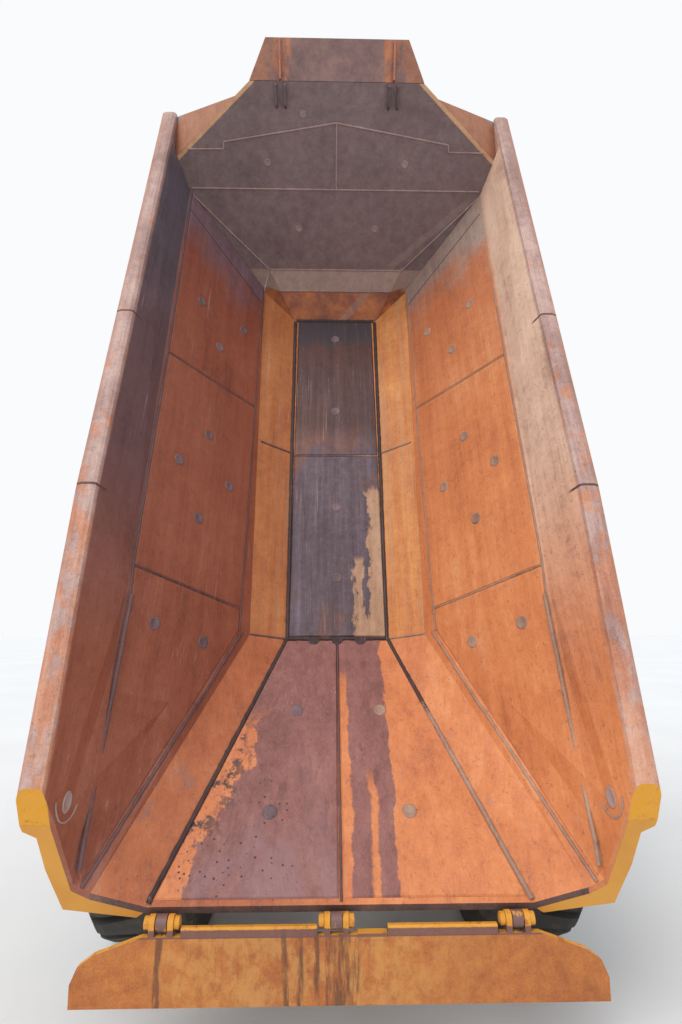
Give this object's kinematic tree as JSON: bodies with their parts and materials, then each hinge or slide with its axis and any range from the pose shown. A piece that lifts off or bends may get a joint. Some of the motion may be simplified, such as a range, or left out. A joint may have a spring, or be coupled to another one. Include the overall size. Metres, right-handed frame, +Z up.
{
  "type": "articulated dump truck",
  "caption": "Six-wheel articulated dump truck, worn yellow and rust, dump body fully raised and tailgate hanging.",
  "frame": {"origin": "on the ground under the middle of the truck as it stands, dump body raised", "axes": "+Y towards the front of the truck, +X towards its right side, +Z up"},
  "size_m": [3.39, 11.4671, 7.2509],
  "materials": {
    "chassis_grey": "satin",
    "machine_dark": "matte",
    "lamp_red": "gloss",
    "worn_floor": "worn and rusty",
    "worn_side": "worn and rusty",
    "worn_front": "worn and rusty",
    "body_yellow": "satin",
    "flange_yellow": "satin",
    "gate_worn": "worn and rusty",
    "rod_chrome": "polished",
    "cab_yellow": "gloss",
    "grille_black": "satin",
    "lamp_clear": "clear",
    "window": "tinted",
    "cab_plastic": "matte",
    "seat_cloth": "woven",
    "rail_black": "satin",
    "exhaust_steel": "heat stained",
    "tyre_rubber": "matte",
    "rim_yellow": "satin"
  },
  "bodies": {
    "rear_frame": {"rear_frame": "chassis_grey", "bogie": "machine_dark", "tail_lamps": "lamp_red"},
    "bed": {"bed_floor": "worn_floor", "bed_sides": "worn_side", "bed_front": "worn_front", "bed_guard": "body_yellow", "bed_flange": "flange_yellow", "bed_hinges": "body_yellow"},
    "tailgate": {"tailgate": "gate_worn"},
    "hoist_barrels": {"hoist_barrels": "machine_dark"},
    "hoist_rods": {"hoist_rods": "rod_chrome"},
    "hitch": {"hitch": "machine_dark"},
    "front_frame": {"front_frame": "chassis_grey", "front_axle": "machine_dark", "engine": "machine_dark", "bumper": "chassis_grey", "headlamps": "lamp_clear", "fenders": "cab_yellow", "cab_shell": "cab_yellow", "cab_glass": "window", "seat": "seat_cloth", "console": "cab_plastic", "handrails": "rail_black", "exhaust": "exhaust_steel"},
    "hood": {"hood": "cab_yellow", "grille": "grille_black"},
    "door": {"door": "cab_yellow", "door_glass": "window"},
    "steer_barrel_left": {"steer_barrel_left": "machine_dark"},
    "steer_barrel_right": {"steer_barrel_right": "machine_dark"},
    "steer_rod_left": {"steer_rod_left": "rod_chrome"},
    "steer_rod_right": {"steer_rod_right": "rod_chrome"},
    "wheel_1_left": {"rim_1_left": "rim_yellow", "tyre_1_left": "tyre_rubber"},
    "wheel_1_right": {"rim_1_right": "rim_yellow", "tyre_1_right": "tyre_rubber"},
    "wheel_2_left": {"rim_2_left": "rim_yellow", "tyre_2_left": "tyre_rubber"},
    "wheel_2_right": {"rim_2_right": "rim_yellow", "tyre_2_right": "tyre_rubber"},
    "wheel_3_left": {"rim_3_left": "rim_yellow", "tyre_3_left": "tyre_rubber"},
    "wheel_3_right": {"rim_3_right": "rim_yellow", "tyre_3_right": "tyre_rubber"}
  },
  "joints": [
    {"name": "bed_tip", "type": "hinge", "parent": "rear_frame", "child": "bed", "pos_m": [0, -4.2065, 1.55], "axis": [1, 0, 0], "range_deg": [-70, 0]},
    {"name": "gate_swing", "type": "hinge", "parent": "bed", "child": "tailgate", "pos_m": [0, -5.46631, 0.76983], "axis": [1, 0, 0], "range_deg": [-156.4, 0]},
    {"name": "hoist_swing", "type": "hinge", "parent": "rear_frame", "child": "hoist_barrels", "pos_m": [0, -3.3665, 0.85], "axis": [1, 0, 0], "range_deg": [-67.5, 0]},
    {"name": "hoist_extend", "type": "slide", "parent": "hoist_barrels", "child": "hoist_rods", "axis": [0, 0.0157, 0.9999], "range_m": [-1.25, 0]},
    {"name": "frame_roll", "type": "hinge", "parent": "rear_frame", "child": "hitch", "pos_m": [0, 0.9035, 1.2], "axis": [0, 1, 0], "range_deg": [-15, 15]},
    {"name": "steer", "type": "hinge", "parent": "hitch", "child": "front_frame", "pos_m": [0, 1.3535, 1.2], "axis": [0, 0, 1], "range_deg": [-45, 45]},
    {"name": "door_swing", "type": "hinge", "parent": "front_frame", "child": "door", "pos_m": [-0.816, 3.3415, 2.7], "axis": [0, 0, -1], "range_deg": [0, 75]},
    {"name": "hood_tilt", "type": "hinge", "parent": "front_frame", "child": "hood", "pos_m": [0, 5.6135, 1.47], "axis": [-1, 0, 0], "range_deg": [0, 60]},
    {"name": "steer_barrel_left_swing", "type": "hinge", "parent": "hitch", "child": "steer_barrel_left", "pos_m": [-0.34, 1.2935, 1.02], "axis": [0, 0, 1], "range_deg": [-44.2, 44.2]},
    {"name": "steer_rod_left_slide", "type": "slide", "parent": "steer_barrel_left", "child": "steer_rod_left", "axis": [-0.0198, 0.9998, 0], "range_m": [-0.25, 0.25]},
    {"name": "steer_barrel_right_swing", "type": "hinge", "parent": "hitch", "child": "steer_barrel_right", "pos_m": [0.34, 1.2935, 1.02], "axis": [0, 0, 1], "range_deg": [-44.2, 44.2]},
    {"name": "steer_rod_right_slide", "type": "slide", "parent": "steer_barrel_right", "child": "steer_rod_right", "axis": [0.0198, 0.9998, 0], "range_m": [-0.25, 0.25]},
    {"name": "wheel_1_left_roll", "type": "hinge", "parent": "front_frame", "child": "wheel_1_left", "pos_m": [-1.32, 2.6335, 0.94], "axis": [1, 0, 0], "continuous": true},
    {"name": "wheel_1_right_roll", "type": "hinge", "parent": "front_frame", "child": "wheel_1_right", "pos_m": [1.32, 2.6335, 0.94], "axis": [1, 0, 0], "continuous": true},
    {"name": "wheel_2_left_roll", "type": "hinge", "parent": "rear_frame", "child": "wheel_2_left", "pos_m": [-1.32, -1.8665, 0.94], "axis": [1, 0, 0], "continuous": true},
    {"name": "wheel_2_right_roll", "type": "hinge", "parent": "rear_frame", "child": "wheel_2_right", "pos_m": [1.32, -1.8665, 0.94], "axis": [1, 0, 0], "continuous": true},
    {"name": "wheel_3_left_roll", "type": "hinge", "parent": "rear_frame", "child": "wheel_3_left", "pos_m": [-1.32, -3.8065, 0.94], "axis": [1, 0, 0], "continuous": true},
    {"name": "wheel_3_right_roll", "type": "hinge", "parent": "rear_frame", "child": "wheel_3_right", "pos_m": [1.32, -3.8065, 0.94], "axis": [1, 0, 0], "continuous": true}
  ],
  "couplings": [
    {"joint": "hoist_swing", "follows": "bed_tip", "ratio": 0.96305},
    {"joint": "hoist_extend", "follows": "bed_tip", "m_per_rad": 1.0227},
    {"joint": "steer_barrel_left_swing", "follows": "steer", "ratio": 0.98},
    {"joint": "steer_rod_left_slide", "follows": "steer", "m_per_rad": -0.31},
    {"joint": "steer_barrel_right_swing", "follows": "steer", "ratio": 0.98},
    {"joint": "steer_rod_right_slide", "follows": "steer", "m_per_rad": 0.31}
  ]
}
